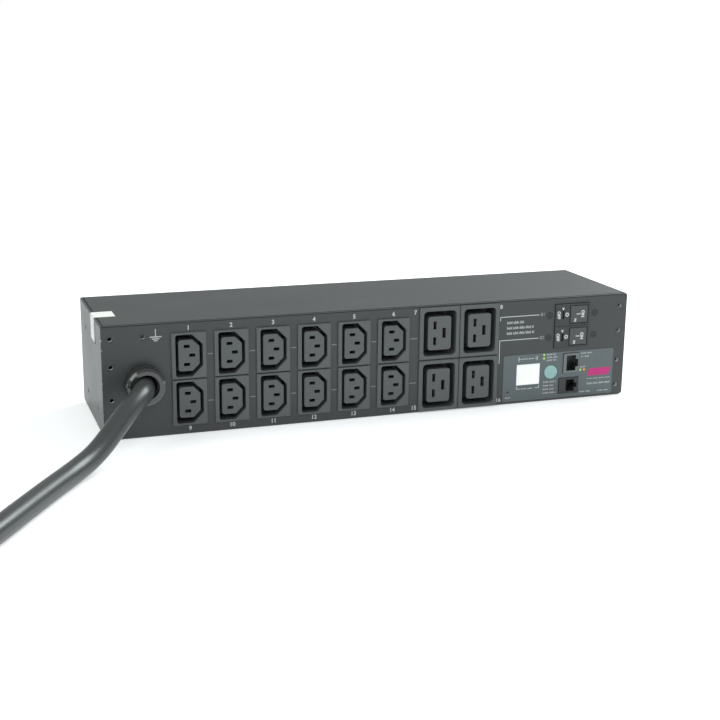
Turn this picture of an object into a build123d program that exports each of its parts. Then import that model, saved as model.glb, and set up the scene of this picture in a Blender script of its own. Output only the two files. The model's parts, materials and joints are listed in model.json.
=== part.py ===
from build123d import *
from math import pi, radians, tan
import os

# Two-unit rack power distribution unit. All sizes are in millimetres.
# The origin is the middle of the bottom face: +X to the right seen from the front, +Z up,
# and the front panel faces -Y.

os.makedirs("parts", exist_ok=True)

# Sheet metal
tray_sheet = 1.2
cover_sheet = 0.75
depth = 110.4
side_bend = 3.6
end_bend = 2.0
seam_gap = 0.3
seam_foot = 6.0
fit_gap = 0.3
slide_gap = 0.2

# Top cover: a rim over the tray's edge, a groove, and the raised plate inside it
cover_rise = 1.0
cover_inset = 2.4
rim_w = 1.75
rim_lift = 0.4
rim_t = 0.4
frame_w = 2.6
frame_h = 1.3
groove_depth = 1.3

# Outlets of the small pattern, six columns in two rows
c13_columns = 6
c13_pitch = 32.8
c13_row_pitch = 36.5
c13_flange_w = 26.8
c13_flange_h = 35.7
c13_well_w = 20.8
c13_well_h = 32.6
c13_well_chamfer = 8.0
c13_island_w = 16.0
c13_island_h = 24.0
c13_island_chamfer = 5.2
c13_pole_spacing = 14.0
c13_pole_x = -1.6
c13_earth_x = 2.5
c13_slot = (4.6, 2.5)
c13_body_depth = 22.0
c13_well_depth = 17.0

# Outlets of the large pattern, two columns in two rows
c19_columns = 2
c19_pitch = 34.8
c19_flange_w = 34.4
c19_flange_h = 42.4
c19_well_w = 28.0
c19_well_h = 36.5
c19_island_w = 19.8
c19_island_h = 27.4
c19_corner = 3.4
c19_pole_spacing = 13.0
c19_pole_x = -4.0
c19_earth_x = 4.0
c19_slot = (2.6, 6.6)
c19_earth_slot = (3.0, 8.2)
c19_body_depth = 26.0
c19_well_depth = 19.0

# Common to both outlet patterns
flange_t = 1.7
outlet_wall = 1.1
island_recess = 0.9
island_cap = 2.6
contact_sheet = 0.6
contact_tail = 6.0
contact_tab = 2.4
earth_tail = 13.0
clip_out = 0.9
clip_long = 5.0

# Where things stand on the front panel, from left to right and from bottom to top
gland_inset = 30.9
c13_inset = 65.25
c13_to_c19 = 39.15
c19_to_overlay = 22.8
overlay_w = 101.8
overlay_to_side = 10.2
bottom_margin = 0.9
row_gap = 0.8
top_margin = 0.6

c13_span = (c13_columns - 1) * c13_pitch
c19_span = (c19_columns - 1) * c19_pitch
width = c13_inset + c13_span + c13_to_c19 + c19_span + c19_to_overlay + overlay_w + overlay_to_side
tray_height = bottom_margin + 2 * c19_flange_h + row_gap + top_margin
height = tray_height + cover_rise

left = -width / 2
right = width / 2
front_y = -depth / 2
rear_y = depth / 2
inner_front_y = front_y + tray_sheet
inner_rear_y = rear_y - tray_sheet
row_mid = bottom_margin + c19_flange_h + row_gap / 2
c13_first = left + c13_inset
c13_last = c13_first + c13_span
c19_first = c13_last + c13_to_c19
c19_last = c19_first + c19_span
c13_rows = (row_mid + c13_row_pitch / 2, row_mid - c13_row_pitch / 2)
c19_row_offset = (c19_flange_h + row_gap) / 2
c19_rows = (row_mid + c19_row_offset, row_mid - c19_row_offset)
overlay_left = c19_last + c19_to_overlay
overlay_right = overlay_left + overlay_w

# Rack bracket holes, earth hole and their clinch nuts
end_hole_inset = 6.65
end_hole_outer = 68.5
end_hole_inner = 25.4
side_hole_y = 52.0
side_hole_z = 52.0
side_hole_centre_y = 0.0
earth_hole_z = 78.2
nut_bore_r = 1.65
nut_shank_r = 2.6
nut_head_r = 3.8
nut_head_t = 2.0
nut_gap = 0.15
gland_x = left + gland_inset
gland_z = 42.6

# Top cover lips and their screws
lip_h = 6.0
lip_end = 14.0
cover_screw_spacing = 150.0
cover_screws_in_row = 3
screw_shank_r = 1.4
screw_head_r = 2.8
screw_head_t = 1.7
screw_length = 5.0
screw_gap = 0.15

# Circuit breakers
breaker_boss_w = 31.8
breaker_boss_h = 18.5
breaker_pitch = 18.8
breaker_body_w = 50.0
breaker_body_h = 18.5
breaker_body_depth = 46.0
breaker_left_gap = 45.3
breaker_centre_z = 63.65
breaker_proud = 0.9
breaker_guard_t = 1.6
breaker_cavity_depth = 13.0
breaker_cavity_wall = 1.5
breaker_screw_x = 20.75
breaker_screw_r = 1.6
breaker_screw_head_r = 2.9
breaker_screw_long = 8.0
breaker_screw_z = 0.25
pad_w = 15.8
pad_h = 14.8
pad_inset = 1.9
pad_gap = 0.9
pad_edge_gap = 0.35
pad_t = 3.2
pivot_depth = 3.6
pivot_from_pad = 1.6
pivot_pin_r = 1.2
pivot_gap = 0.1
pivot_pin_long = 0.8
arm_t = 2.4
arm_long = 11.0
guard_slot = (1.6, 6.6)
guard_slot_x = -8.8
guard_gap = 0.5
terminal_w = 6.3
terminal_t = 0.8
terminal_long = 8.0
terminal_x = 16.0

# Overlay, display, button, jacks and the control board behind them
overlay_t = 0.35
overlay_z = 2.4
overlay_h = 39.4
overlay_corner = 1.8
display_x = 12.4
display_z = 13.4
display_w = 20.9
display_h = 17.4
display_rim = 0.8
display_recess = 1.9
button_x = 43.4
button_z = 22.8
button_r = 5.9
button_proud = 0.9
button_gap = 0.35
button_flange_r = 7.0
button_flange_t = 1.2
button_stem_r = 1.6
button_travel = 0.8
led_r = 0.95
led_proud = 0.3
led_gap = 0.15
bank_led_x = 36.8
bank_led_z = (34.8, 37.8)
link_led_x = (71.1, 74.6)
link_led_z = 22.5
rj45_x = 54.8
rj45_z = 20.8
rj45_w = 14.4
rj45_h = 16.8
rj45_mouth_x = 2.9
rj45_mouth_w = 10.0
rj45_mouth_h = 13.0
rj45_notch = (1.6, 6.4)
rj45_pins = 8
rj12_x = 51.4
rj12_z = 3.4
rj12_w = 18.2
rj12_h = 13.2
rj12_mouth_x = 6.4
rj12_mouth_w = 9.4
rj12_mouth_h = 10.2
rj12_notch = (1.6, 4.2)
rj12_pins = 6
jack_proud = 0.7
jack_depth_left = 2.0
pin_pitch = 1.02
pin_side = 0.4
reset_x = 4.8
reset_z = 8.1
reset_hole_r = 0.8
reset_travel = 0.25
switch_side = 6.0
switch_t = 3.4
plunger_r = 1.6
plunger_t = 1.6
board_t = 1.6
board_back = 11.0
board_side = 2.0
board_right = 7.0
board_top = 0.8
board_bottom = 1.0
board_screw_inset = 3.2
board_screw_left = 9.2
standoff_r = 2.5

# Cable gland
gland_nut_r = 15.6
gland_nut_flats = 29.4
gland_nut_out = 12.8
gland_nut_shoulder = 4.6
gland_mouth_r = 9.6
gland_collar_r = 15.2
gland_collar_t = 1.4
gland_thread_r = 12.3
gland_thread_in = 10.0
gland_seal_t = 5.0
lock_nut_flats = 28.6
lock_nut_t = 4.5

# Mains cord, its put-away coil and its plug
cord_d = 16.0
cord_gap = 0.6
floor_gap = 0.1
cord_inside = 9.0
coil_x = -420.0
coil_y = -226.0
coil_inner_turn = 80.0
coil_turns_wide = 2
coil_turns_high = 2
coil_tail = 84.0
plug_nut_r = 24.0
plug_nut_long = 30.0
plug_body_r = 27.5
plug_body_long = 66.0
plug_ring_r = 30.5
plug_shroud_r = 29.0
plug_shroud_wall = 2.6
plug_shroud_long = 44.0
plug_key = (6.0, 2.4)
plug_pin_r = 3.0
plug_earth_r = 4.0
plug_pin_circle = 13.5
plug_pin_long = 36.0
coil_lift = 1.0
tie_t = 0.6
tie_gap = 0.3
tie_w = 10.0

# Mains entry, wiring and supply inside the case
wire_r = 2.2
wire_gap = 0.3
wire_bend = 7.0
terminal_block_w = 44.0
terminal_block_d = 24.0
terminal_block_h = 22.0
terminal_block_left = 32.0
terminal_block_rear = 12.0
supply_w = 46.0
supply_d = 28.0
supply_h = 21.0
supply_x = 24.0
supply_rear = 10.0
transformer_w = 12.0
transformer_d = 18.0
transformer_h = 22.0
transformer_x = 130.0
transformer_y = (8.0, 30.0)
transformer_hole_r = 4.0
seal_t = 0.3
seal_top = 16.0
seal_side = 19.0
seal_w = 18.0
seal_y = -15.0


def save(builder, node):
    """Labels a finished piece and writes it as its own STEP file."""
    builder.part.label = node
    export_step(builder.part, f"parts/{node}.step")


def front(x=0.0, z=0.0, out=0.0):
    """A plane on the front panel at x and z, raised by out, that faces the viewer."""
    return Plane(origin=(x, front_y - out, z), x_dir=(1, 0, 0), z_dir=(0, -1, 0))


def side(sign, y=0.0, z=0.0):
    """A plane on the left (-1) or right (+1) side plate, facing outwards."""
    return Plane(origin=(sign * right, y, z), x_dir=(0, sign, 0), z_dir=(sign, 0, 0))


# Holes that the tray and its nuts share
end_hole_places = [
    (x, row_mid + dz)
    for x in (left + end_hole_inset, right - end_hole_inset)
    for dz in (-end_hole_outer / 2, -end_hole_inner / 2, end_hole_inner / 2, end_hole_outer / 2)
]
front_nut_places = end_hole_places + [(gland_x, earth_hole_z)]
side_hole_places = [
    (side_hole_centre_y + dy, row_mid + dz)
    for dy in (-side_hole_y / 2, side_hole_y / 2)
    for dz in (-side_hole_z / 2, side_hole_z / 2)
]
cover_screw_places = [
    ((i - (cover_screws_in_row - 1) / 2) * cover_screw_spacing, tray_height - lip_h / 2)
    for i in range(cover_screws_in_row)
]
breaker_x = overlay_left + breaker_left_gap + breaker_boss_w / 2
breaker_rows = (breaker_centre_z + breaker_pitch / 2, breaker_centre_z - breaker_pitch / 2)
breaker_screw_places = [
    (breaker_x + sx * breaker_screw_x, z + breaker_screw_z) for z in breaker_rows for sx in (-1, 1)
]
led_places = [(bank_led_x, z) for z in bank_led_z] + [(x, link_led_z) for x in link_led_x]
board_y = inner_front_y + board_back


def c13_outline(width_x, height_z, chamfer_by, grow=0.0):
    """The outline of the small pattern: two cut corners at the earth side, two round ones opposite."""
    Rectangle(width_x + 2 * grow, height_z + 2 * grow)
    corners = vertices().sort_by(Axis.X)
    chamfer(corners[2:4], chamfer_by + 0.4 * grow)
    fillet(vertices().sort_by(Axis.X)[0:2], 2.0 + grow)


def c19_outline(width_x, height_z, corner, grow=0.0):
    """The outline of the large pattern: a rectangle with four round corners."""
    Rectangle(width_x + 2 * grow, height_z + 2 * grow)
    fillet(vertices(), corner + grow)


# Folded tray: bottom, front, rear and both sides from one sheet
with BuildPart() as tray_core:
    with BuildSketch(Plane.XZ.offset(-inner_rear_y)) as core_front:
        with Locations((0, tray_sheet + tray_height / 2)):
            Rectangle(width - 2 * tray_sheet, tray_height)
        fillet(core_front.vertices().group_by(Axis.Y)[0], side_bend - tray_sheet)
    extrude(amount=depth - 2 * tray_sheet)
    with BuildSketch(Plane.YZ.offset(-width / 2)) as core_side:
        with Locations((0, tray_sheet + tray_height / 2)):
            Rectangle(depth - 2 * tray_sheet, tray_height)
        fillet(core_side.vertices().group_by(Axis.Y)[0], end_bend - tray_sheet)
    extrude(amount=width, mode=Mode.INTERSECT)

with BuildPart() as chassis_tray:
    with BuildSketch(Plane.XZ.offset(-rear_y)) as tray_front:
        with Locations((0, tray_height / 2)):
            Rectangle(width, tray_height)
        fillet(tray_front.vertices().group_by(Axis.Y)[0], side_bend)
    extrude(amount=depth)
    with BuildSketch(Plane.YZ.offset(-width / 2)) as tray_side:
        with Locations((0, tray_height / 2)):
            Rectangle(depth, tray_height)
        fillet(tray_side.vertices().group_by(Axis.Y)[0], end_bend)
    extrude(amount=width, mode=Mode.INTERSECT)
    add(tray_core.part, mode=Mode.SUBTRACT)
    # Open seams where the front and rear flanges meet the side plates
    with Locations(
        *[
            (sx * (right - tray_sheet / 2), sy * (inner_rear_y - seam_gap / 2), seam_foot + tray_height / 2)
            for sx in (-1, 1)
            for sy in (-1, 1)
        ]
    ):
        Box(2 * tray_sheet, seam_gap, tray_height, mode=Mode.SUBTRACT)
    # Cut-outs in the front panel
    with BuildSketch(front()):
        for z in c13_rows:
            for i in range(c13_columns):
                with BuildSketch(mode=Mode.PRIVATE) as c13_hole:
                    c13_outline(c13_well_w, c13_well_h, c13_well_chamfer, outlet_wall + slide_gap)
                add(c13_hole.sketch.moved(Location((c13_first + i * c13_pitch, z, 0))))
        for z in c19_rows:
            for i in range(c19_columns):
                with BuildSketch(mode=Mode.PRIVATE) as c19_hole:
                    c19_outline(c19_well_w, c19_well_h, c19_corner, outlet_wall + slide_gap)
                add(c19_hole.sketch.moved(Location((c19_first + i * c19_pitch, z, 0))))
        with Locations(*front_nut_places):
            Circle(nut_shank_r + nut_gap)
        with Locations((gland_x, gland_z)):
            Circle(gland_thread_r + fit_gap)
        with Locations((breaker_x, breaker_centre_z)):
            Rectangle(breaker_boss_w + 2 * fit_gap, breaker_pitch + breaker_boss_h + 2 * fit_gap)
        with Locations((overlay_left + display_x + display_w / 2, overlay_z + display_z + display_h / 2)):
            Rectangle(display_w + 2 * fit_gap, display_h + 2 * fit_gap)
        with Locations((overlay_left + button_x, overlay_z + button_z)):
            Circle(button_r + button_gap)
        with Locations(*[(overlay_left + x, overlay_z + z) for x, z in led_places]):
            Circle(led_r + led_gap)
        with Locations((overlay_left + reset_x, overlay_z + reset_z)):
            Circle(reset_hole_r)
        with Locations((overlay_left + rj45_x + rj45_w / 2, overlay_z + rj45_z + rj45_h / 2)):
            Rectangle(rj45_w + 2 * fit_gap, rj45_h + 2 * fit_gap)
        with Locations((overlay_left + rj12_x + rj12_w / 2, overlay_z + rj12_z + rj12_h / 2)):
            Rectangle(rj12_w + 2 * fit_gap, rj12_h + 2 * fit_gap)
    extrude(amount=-2 * tray_sheet, mode=Mode.SUBTRACT)
    # Countersunk holes of the breaker screws
    with BuildSketch(front()):
        with Locations(*breaker_screw_places):
            Circle(breaker_screw_head_r + screw_gap)
    extrude(amount=-tray_sheet, taper=45, mode=Mode.SUBTRACT)
    # Bracket holes in the side plates
    for sign in (-1, 1):
        with BuildSketch(side(sign)):
            with Locations(*[(sign * y, z) for y, z in side_hole_places]):
                Circle(nut_shank_r + nut_gap)
        extrude(amount=-2 * tray_sheet, mode=Mode.SUBTRACT)
    # Cover screw holes in the rear flange
    with BuildSketch(Plane.XZ.offset(-rear_y)):
        with Locations(*cover_screw_places):
            Circle(screw_shank_r + screw_gap)
    extrude(amount=2 * tray_sheet, mode=Mode.SUBTRACT)
save(chassis_tray, "chassis_tray")

# Top cover: rim, raised plate, and a frame with bent lips inside the tray
lip_inset = tray_sheet + fit_gap
lip_z = tray_height - lip_h
rim_z = tray_height + rim_lift
frame_z = rim_z - frame_h
front_lip_left = c13_first - c13_flange_w / 2
front_lip_right = c13_last + c13_flange_w / 2
with BuildPart() as top_cover:
    with BuildSketch(Plane.XY.offset(rim_z)):
        Rectangle(width, depth)
        fillet(vertices(), rim_w)
    extrude(amount=rim_t)
    fillet(top_cover.faces().sort_by(Axis.Z)[-1].edges(), 0.6 * rim_t)
    with BuildSketch(Plane.XY.offset(frame_z)):
        Rectangle(width - 2 * lip_inset, depth - 2 * lip_inset)
    extrude(amount=frame_h)
    with BuildSketch(Plane.XY.offset(rim_z)):
        Rectangle(width - 2 * cover_inset, depth - 2 * cover_inset)
        fillet(vertices(), rim_w)
    extrude(amount=height - rim_z)
    with BuildSketch(Plane.XY.offset(height)):
        Rectangle(width - 2 * rim_w, depth - 2 * rim_w)
        with BuildSketch(mode=Mode.PRIVATE) as plate_outline:
            Rectangle(width - 2 * cover_inset, depth - 2 * cover_inset)
            fillet(vertices(), rim_w)
        add(plate_outline.sketch, mode=Mode.SUBTRACT)
    extrude(amount=-groove_depth, mode=Mode.SUBTRACT)
    with BuildSketch(Plane.XY.offset(frame_z)):
        Rectangle(
            width - 2 * (lip_inset + frame_w),
            depth - 2 * (lip_inset + frame_w),
        )
    extrude(amount=height - cover_sheet - frame_z, mode=Mode.SUBTRACT)
    with BuildSketch(Plane.XY.offset(lip_z)):
        for sx in (-1, 1):
            with Locations((sx * (right - lip_inset - cover_sheet / 2), 0)):
                Rectangle(cover_sheet, depth - 2 * lip_end)
        with Locations((0, rear_y - lip_inset - cover_sheet / 2)):
            Rectangle(width - 2 * lip_end, cover_sheet)
        with Locations(((front_lip_left + front_lip_right) / 2, front_y + lip_inset + cover_sheet / 2)):
            Rectangle(front_lip_right - front_lip_left, cover_sheet)
    extrude(amount=frame_z - lip_z)
    with BuildSketch(Plane.XZ.offset(-(rear_y - lip_inset))):
        with Locations(*cover_screw_places):
            Circle(screw_shank_r + screw_gap)
    extrude(amount=2 * cover_sheet, mode=Mode.SUBTRACT)
save(top_cover, "top_cover")

# Clinch nuts: a head behind the sheet and a shank that ends flush with its outside
with BuildPart() as clinch_nuts:
    nut_planes = [front(x, z) for x, z in front_nut_places]
    nut_planes += [side(sign, y, z) for sign in (-1, 1) for y, z in side_hole_places]
    for plane in nut_planes:
        with BuildSketch(plane):
            Circle(nut_shank_r)
            Circle(nut_bore_r, mode=Mode.SUBTRACT)
        extrude(amount=-tray_sheet)
        with BuildSketch(plane.offset(-tray_sheet)):
            Circle(nut_head_r)
            Circle(nut_bore_r, mode=Mode.SUBTRACT)
        extrude(amount=-nut_head_t)
save(clinch_nuts, "clinch_nuts")


def contact_pocket(plane, x, z, size, back):
    """A pocket for one contact, open at the back of an outlet."""
    with BuildSketch(plane.offset(-back)) as pocket:
        with Locations((x, z)):
            Rectangle(size[0] + 1.6, size[1] + 1.8)
    extrude(pocket.sketch, amount=back - island_recess - island_cap, mode=Mode.SUBTRACT)


def pin_slot(plane, x, z, size):
    """A slot through the island's front wall."""
    with BuildSketch(plane.offset(-island_recess)) as slot:
        with Locations((x, z)):
            Rectangle(*size)
    extrude(slot.sketch, amount=-island_cap - 0.5, mode=Mode.SUBTRACT)


def snap_clips(plane, half_w, half_long):
    """Two wedges on the body's flanks that spring out behind the panel."""
    start = flange_t + tray_sheet + slide_gap
    end = start + clip_long
    for sign in (-1, 1):
        foot = sign * (half_w - 0.3)
        with BuildSketch(Plane(origin=plane.origin, x_dir=(1, 0, 0), z_dir=(0, 0, 1))) as wedge:
            with BuildLine():
                Polyline((foot, start), (sign * (half_w + clip_out), start), (sign * half_w, end), (foot, end), close=True)
            make_face()
        extrude(wedge.sketch, amount=half_long, both=True)


c13_slots = [
    (c13_pole_x, c13_pole_spacing / 2, c13_slot),
    (c13_pole_x, -c13_pole_spacing / 2, c13_slot),
    (c13_earth_x, 0.0, c13_slot),
]
c19_slots = [
    (c19_pole_x, c19_pole_spacing / 2, c19_slot),
    (c19_pole_x, -c19_pole_spacing / 2, c19_slot),
    (c19_earth_x, 0.0, c19_earth_slot),
]


with BuildPart() as c13_outlet:
    c13_face = front(0, 0, flange_t)
    with BuildSketch(c13_face):
        Rectangle(c13_flange_w, c13_flange_h)
        chamfer(vertices(), 0.8)
    extrude(amount=-flange_t)
    chamfer(c13_outlet.faces().sort_by(Axis.Y)[0].edges(), 0.4)
    with BuildSketch(c13_face.offset(-flange_t)):
        c13_outline(c13_well_w, c13_well_h, c13_well_chamfer, outlet_wall)
    extrude(amount=-c13_body_depth)
    with BuildSketch(c13_face):
        c13_outline(c13_well_w, c13_well_h, c13_well_chamfer)
    extrude(amount=-c13_well_depth, mode=Mode.SUBTRACT)
    with BuildSketch(c13_face.offset(-island_recess)):
        c13_outline(c13_island_w, c13_island_h, c13_island_chamfer)
    extrude(amount=-(c13_well_depth - island_recess))
    snap_clips(c13_face, c13_well_w / 2 + outlet_wall, c13_pole_spacing / 2)
    for px, pz, size in c13_slots:
        contact_pocket(c13_face, px, pz, size, flange_t + c13_body_depth)
        pin_slot(c13_face, px, pz, size)

with BuildPart() as c19_outlet:
    c19_face = front(0, 0, flange_t)
    with BuildSketch(c19_face):
        Rectangle(c19_flange_w, c19_flange_h)
        chamfer(vertices(), 0.8)
    extrude(amount=-flange_t)
    chamfer(c19_outlet.faces().sort_by(Axis.Y)[0].edges(), 0.4)
    with BuildSketch(c19_face.offset(-flange_t)):
        c19_outline(c19_well_w, c19_well_h, c19_corner, outlet_wall)
    extrude(amount=-c19_body_depth)
    with BuildSketch(c19_face):
        c19_outline(c19_well_w, c19_well_h, c19_corner)
    extrude(amount=-c19_well_depth, mode=Mode.SUBTRACT)
    with BuildSketch(c19_face.offset(-island_recess)):
        c19_outline(c19_island_w, c19_island_h, c19_corner - outlet_wall)
    extrude(amount=-(c19_well_depth - island_recess))
    snap_clips(c19_face, c19_well_w / 2 + outlet_wall, c19_pole_spacing / 2)
    for px, pz, size in c19_slots:
        contact_pocket(c19_face, px, pz, size, flange_t + c19_body_depth)
        pin_slot(c19_face, px, pz, size)

c13_places = [(c13_first + i * c13_pitch, 0, z) for z in c13_rows for i in range(c13_columns)]
c19_places = [(c19_first + i * c19_pitch, 0, z) for z in c19_rows for i in range(c19_columns)]
for pattern, places, name in ((c13_outlet, c13_places, "c13_outlet"), (c19_outlet, c19_places, "c19_outlet")):
    for number, place in enumerate(places, start=1):
        with BuildPart() as outlet:
            with Locations(place):
                add(pattern.part)
        save(outlet, f"{name}_{number:02d}")


def spring_contact(plane, x, z, size, body_back, tail):
    """A folded sheet contact: two leaves joined at the back, and a flat tail to the bus bar."""
    back = plane.offset(-(flange_t + body_back))
    w, h = size
    across = w >= h
    hollow = (w + 1.0, h + 1.2 - 2 * contact_sheet) if across else (w + 1.0 - 2 * contact_sheet, h + 1.2)
    strip = (w, contact_sheet) if across else (contact_sheet, contact_tab)
    with BuildSketch(back) as leaves:
        with Locations((x, z)):
            Rectangle(w + 1.0, h + 1.2)
            Rectangle(*hollow, mode=Mode.SUBTRACT)
    extrude(leaves.sketch, amount=flange_t + body_back - island_recess - island_cap - 1.0)
    with BuildSketch(back) as web:
        with Locations((x, z)):
            Rectangle(w + 1.0, h + 1.2)
    extrude(web.sketch, amount=contact_sheet)
    with BuildSketch(back) as tail_strip:
        with Locations((x, z)):
            Rectangle(*strip)
    extrude(tail_strip.sketch, amount=-tail)


with BuildPart() as c13_contact_set:
    for px, pz, size in c13_slots:
        spring_contact(c13_face, px, pz, size, c13_body_depth, contact_tail if pz else earth_tail)

with BuildPart() as c19_contact_set:
    for px, pz, size in c19_slots:
        tail = (contact_tail if pz else earth_tail) + c13_body_depth - c19_body_depth
        spring_contact(c19_face, px, pz, size, c19_body_depth, tail)

with BuildPart() as c13_contacts:
    with Locations(*c13_places):
        add(c13_contact_set.part)
save(c13_contacts, "c13_contacts")

with BuildPart() as c19_contacts:
    with Locations(*c19_places):
        add(c19_contact_set.part)
save(c19_contacts, "c19_contacts")

# Bus bars: one strip for each pole of each row, against the tails of its contacts
bar_t = 1.5
bar_h = 6.0
bar_left = c13_first - c13_flange_w / 2
bar_right = c19_last + c19_well_w / 2
pole_bar_y = front_y + c13_body_depth + contact_tail
earth_bar_y = front_y + c13_body_depth + earth_tail


def bus_bar(y, z):
    """A copper strip with round ends and a lug hole near each end."""
    plane = Plane(origin=((bar_left + bar_right) / 2, y, z), x_dir=(1, 0, 0), z_dir=(0, 1, 0))
    lug = (bar_right - bar_left - bar_h) / 2
    with BuildSketch(plane) as strip:
        Rectangle(bar_right - bar_left, bar_h)
        fillet(vertices(), bar_h / 4)
        with Locations((-lug, 0), (lug, 0)):
            Circle(bar_h / 4, mode=Mode.SUBTRACT)
    extrude(strip.sketch, amount=bar_t)


def bar_z(row, pole):
    """Height of the bar of a pole: half way between the tails of both outlet patterns."""
    small = c13_rows[row] + pole * c13_pole_spacing / 2
    large = c19_rows[row] + pole * c19_pole_spacing / 2
    return (small + large) / 2


with BuildPart() as line_bus_bars:
    for row in (0, 1):
        bus_bar(pole_bar_y, bar_z(row, 1))
save(line_bus_bars, "line_bus_bars")

with BuildPart() as neutral_bus_bars:
    for row in (0, 1):
        bus_bar(pole_bar_y, bar_z(row, -1))
save(neutral_bus_bars, "neutral_bus_bars")

with BuildPart() as earth_bus_bars:
    for row in (0, 1):
        bus_bar(earth_bar_y, bar_z(row, 0))
save(earth_bus_bars, "earth_bus_bars")

# Circuit breakers: body, rocker, and the guard plate over the rocker's off side
guard_out = breaker_proud
boss_face = guard_out - breaker_guard_t
pad_right = breaker_boss_w / 2 - pad_inset
pad_centre = pad_right - pad_w / 2
pivot_x = pad_right - pad_w + pivot_from_pad
cavity_w = breaker_boss_w - 2 * breaker_cavity_wall
cavity_h = breaker_boss_h - 2 * breaker_cavity_wall


def breaker_body(z, node):
    """One breaker: a case behind the panel, a boss through it with the rocker's cavity, and two tabs."""
    with BuildPart() as body:
        with BuildSketch(front(breaker_x, z, -tray_sheet)):
            Rectangle(breaker_body_w, breaker_body_h)
        extrude(amount=-breaker_body_depth)
        chamfer(body.faces().sort_by(Axis.Y)[-1].edges(), 1.0)
        with BuildSketch(front(breaker_x, z, boss_face)):
            Rectangle(breaker_boss_w, breaker_boss_h)
        extrude(amount=-(tray_sheet + boss_face + 0.5))
        with BuildSketch(front(breaker_x, z, boss_face)):
            Rectangle(cavity_w, cavity_h)
        extrude(amount=-breaker_cavity_depth, mode=Mode.SUBTRACT)
        with BuildSketch(Plane(origin=(breaker_x + pivot_x, front_y - guard_out + pivot_depth, z))):
            Circle(pivot_pin_r + pivot_gap)
        extrude(amount=cavity_h / 2 + pivot_pin_long + fit_gap, both=True, mode=Mode.SUBTRACT)
        with BuildSketch(front(breaker_x, z, -tray_sheet)):
            with Locations((-breaker_screw_x, breaker_screw_z), (breaker_screw_x, breaker_screw_z)):
                Circle(breaker_screw_r + screw_gap)
        extrude(amount=-breaker_screw_long, mode=Mode.SUBTRACT)
        with BuildSketch(Plane.XZ.offset(-(inner_front_y + breaker_body_depth))):
            with Locations((breaker_x - terminal_x, z), (breaker_x + terminal_x, z)):
                Rectangle(terminal_t, terminal_w)
        extrude(amount=-terminal_long)
    save(body, node)


def breaker_rocker(z, node):
    """The rocker: the pad that shows, the arm behind the guard, and the pivot pins."""
    pivot_y = front_y - guard_out + pivot_depth
    with BuildPart() as rocker:
        with BuildSketch(front(breaker_x + pad_centre, z, guard_out)):
            Rectangle(pad_w, pad_h)
        extrude(amount=-pad_t)
        chamfer(rocker.faces().sort_by(Axis.Y)[0].edges(), 0.4)
        with BuildSketch(front(breaker_x + pivot_x - arm_long / 2, z, boss_face - guard_gap)):
            Rectangle(arm_long, pad_h - 2.0)
        extrude(amount=-arm_t)
        with BuildSketch(Plane(origin=(breaker_x + pivot_x, pivot_y, z))):
            Circle(2.0 * pivot_pin_r)
        extrude(amount=pad_h / 2 - 1.0, both=True)
        with BuildSketch(Plane(origin=(breaker_x + pivot_x, pivot_y, z))):
            Circle(pivot_pin_r)
        extrude(amount=cavity_h / 2 + pivot_pin_long, both=True)
    save(rocker, node)


for number, z in enumerate(breaker_rows, start=1):
    breaker_body(z, f"breaker_{number}_body")
    breaker_rocker(z, f"breaker_{number}_rocker")

with BuildPart() as breaker_guards:
    for z in breaker_rows:
        with BuildSketch(front(breaker_x, z, guard_out)):
            Rectangle(breaker_boss_w, breaker_boss_h)
            with Locations((pad_centre - (pad_gap - pad_edge_gap) / 2, 0)):
                Rectangle(pad_w + pad_gap + pad_edge_gap, pad_h + 2 * pad_edge_gap, mode=Mode.SUBTRACT)
            with Locations((guard_slot_x, 0)):
                Rectangle(*guard_slot, mode=Mode.SUBTRACT)
        extrude(amount=-breaker_guard_t)
save(breaker_guards, "breaker_guards")

with BuildPart() as breaker_screws:
    for x, z in breaker_screw_places:
        with BuildSketch(front(x, z)):
            Circle(breaker_screw_head_r)
        extrude(amount=-tray_sheet, taper=45)
        with BuildSketch(front(x, z)):
            Circle(breaker_screw_r)
        extrude(amount=-(tray_sheet + breaker_screw_long - 1.0))
save(breaker_screws, "breaker_screws")

# Overlay: a thin printed sheet with windows for everything behind it
with BuildPart() as overlay_label:
    with BuildSketch(front(overlay_left, overlay_z)):
        with Locations((overlay_w / 2, overlay_h / 2)):
            Rectangle(overlay_w, overlay_h)
        fillet(vertices(), overlay_corner)
        with Locations((display_x + display_w / 2, display_z + display_h / 2)):
            Rectangle(display_w + 2 * fit_gap, display_h + 2 * fit_gap, mode=Mode.SUBTRACT)
        with Locations((button_x, button_z)):
            Circle(button_r + button_gap, mode=Mode.SUBTRACT)
        with Locations(*led_places):
            Circle(led_r + led_gap, mode=Mode.SUBTRACT)
        with Locations((reset_x, reset_z)):
            Circle(reset_hole_r, mode=Mode.SUBTRACT)
        with Locations((rj45_x + rj45_w / 2, rj45_z + rj45_h / 2)):
            Rectangle(rj45_w + 2 * fit_gap, rj45_h + 2 * fit_gap, mode=Mode.SUBTRACT)
        with Locations((rj12_x + rj12_w / 2, rj12_z + rj12_h / 2)):
            Rectangle(rj12_w + 2 * fit_gap, rj12_h + 2 * fit_gap, mode=Mode.SUBTRACT)
    extrude(amount=overlay_t)
save(overlay_label, "overlay_label")

# Control board on four standoffs behind the overlay
board_left = overlay_left + board_side
board_end = overlay_right - board_right
board_low = overlay_z + board_bottom
board_high = overlay_z + overlay_h - board_top
board_screw_places = [
    (x, z)
    for x in (board_left + board_screw_left, board_end - board_screw_inset)
    for z in (board_low + board_screw_inset, board_high - board_screw_inset)
]

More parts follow.
